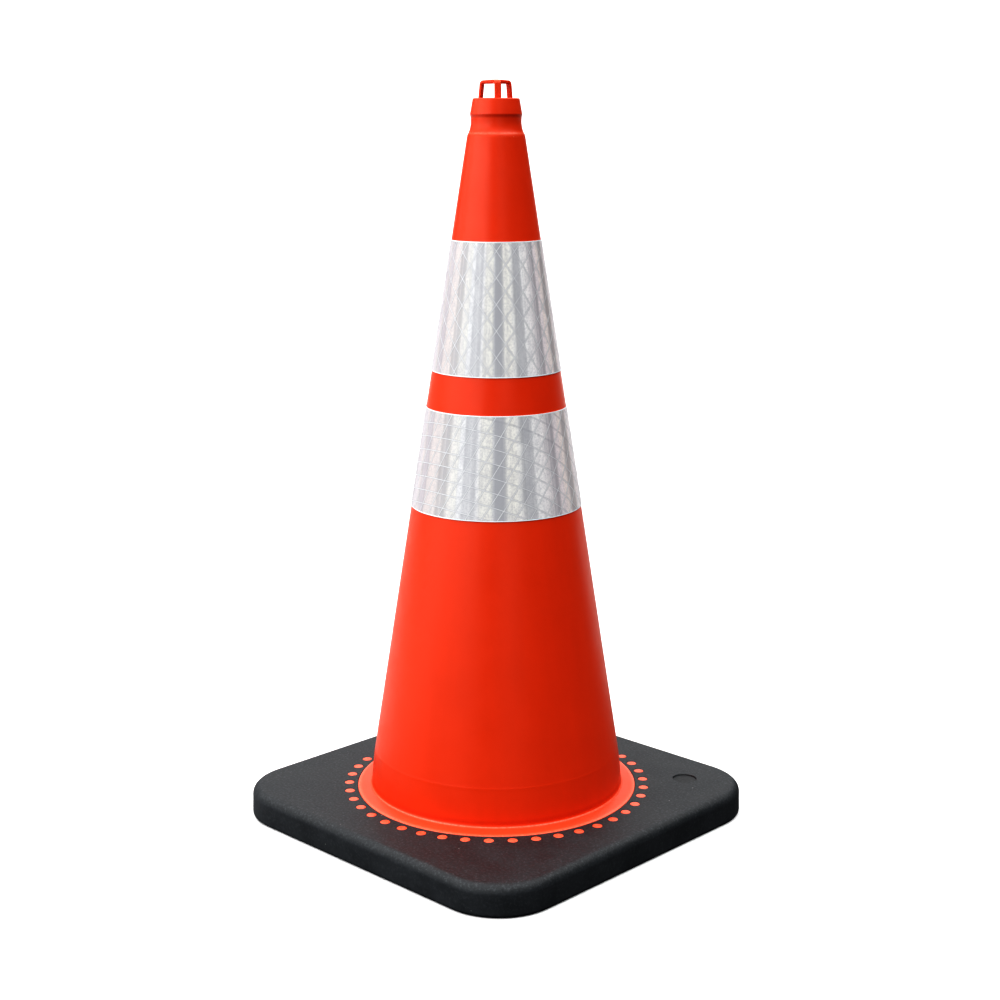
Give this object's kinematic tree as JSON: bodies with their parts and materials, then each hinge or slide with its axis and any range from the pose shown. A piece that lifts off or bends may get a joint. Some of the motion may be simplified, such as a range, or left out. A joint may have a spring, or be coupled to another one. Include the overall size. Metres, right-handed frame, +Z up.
{
  "type": "traffic cone",
  "caption": "Tall hollow traffic cone on a square weighted base, with reflective collars and a small open handle cage in its mouth.",
  "frame": {"origin": "on the floor under the middle of the cone, at the centre of the base's underside", "axes": "+Z up along the cone's axis, +X and +Y square to the base's sides"},
  "size_m": [0.379, 0.379, 0.7111],
  "materials": {
    "orange_vinyl": "satin moulded vinyl, fine grain",
    "reflective_film": "silver-white prismatic reflective film",
    "black_vinyl": "matt black recycled vinyl, slightly greyed"
  },
  "bodies": {
    "root": {"cone_shell": "orange_vinyl", "top_cage": "orange_vinyl", "upper_collar": "reflective_film", "lower_collar": "reflective_film", "base_plate": "black_vinyl", "lock_peg_01": "orange_vinyl", "lock_peg_02": "orange_vinyl", "lock_peg_03": "orange_vinyl", "lock_peg_04": "orange_vinyl", "lock_peg_05": "orange_vinyl", "lock_peg_06": "orange_vinyl", "lock_peg_07": "orange_vinyl", "lock_peg_08": "orange_vinyl", "lock_peg_09": "orange_vinyl", "lock_peg_10": "orange_vinyl", "lock_peg_11": "orange_vinyl", "lock_peg_12": "orange_vinyl", "lock_peg_13": "orange_vinyl", "lock_peg_14": "orange_vinyl", "lock_peg_15": "orange_vinyl", "lock_peg_16": "orange_vinyl", "lock_peg_17": "orange_vinyl", "lock_peg_18": "orange_vinyl", "lock_peg_19": "orange_vinyl", "lock_peg_20": "orange_vinyl", "lock_peg_21": "orange_vinyl", "lock_peg_22": "orange_vinyl", "lock_peg_23": "orange_vinyl", "lock_peg_24": "orange_vinyl", "lock_peg_25": "orange_vinyl", "lock_peg_26": "orange_vinyl", "lock_peg_27": "orange_vinyl", "lock_peg_28": "orange_vinyl", "lock_peg_29": "orange_vinyl", "lock_peg_30": "orange_vinyl", "lock_peg_31": "orange_vinyl", "lock_peg_32": "orange_vinyl", "lock_peg_33": "orange_vinyl", "lock_peg_34": "orange_vinyl", "lock_peg_35": "orange_vinyl", "lock_peg_36": "orange_vinyl", "lock_peg_37": "orange_vinyl", "lock_peg_38": "orange_vinyl", "lock_peg_39": "orange_vinyl", "lock_peg_40": "orange_vinyl", "lock_peg_41": "orange_vinyl", "lock_peg_42": "orange_vinyl"}
  },
  "joints": []
}
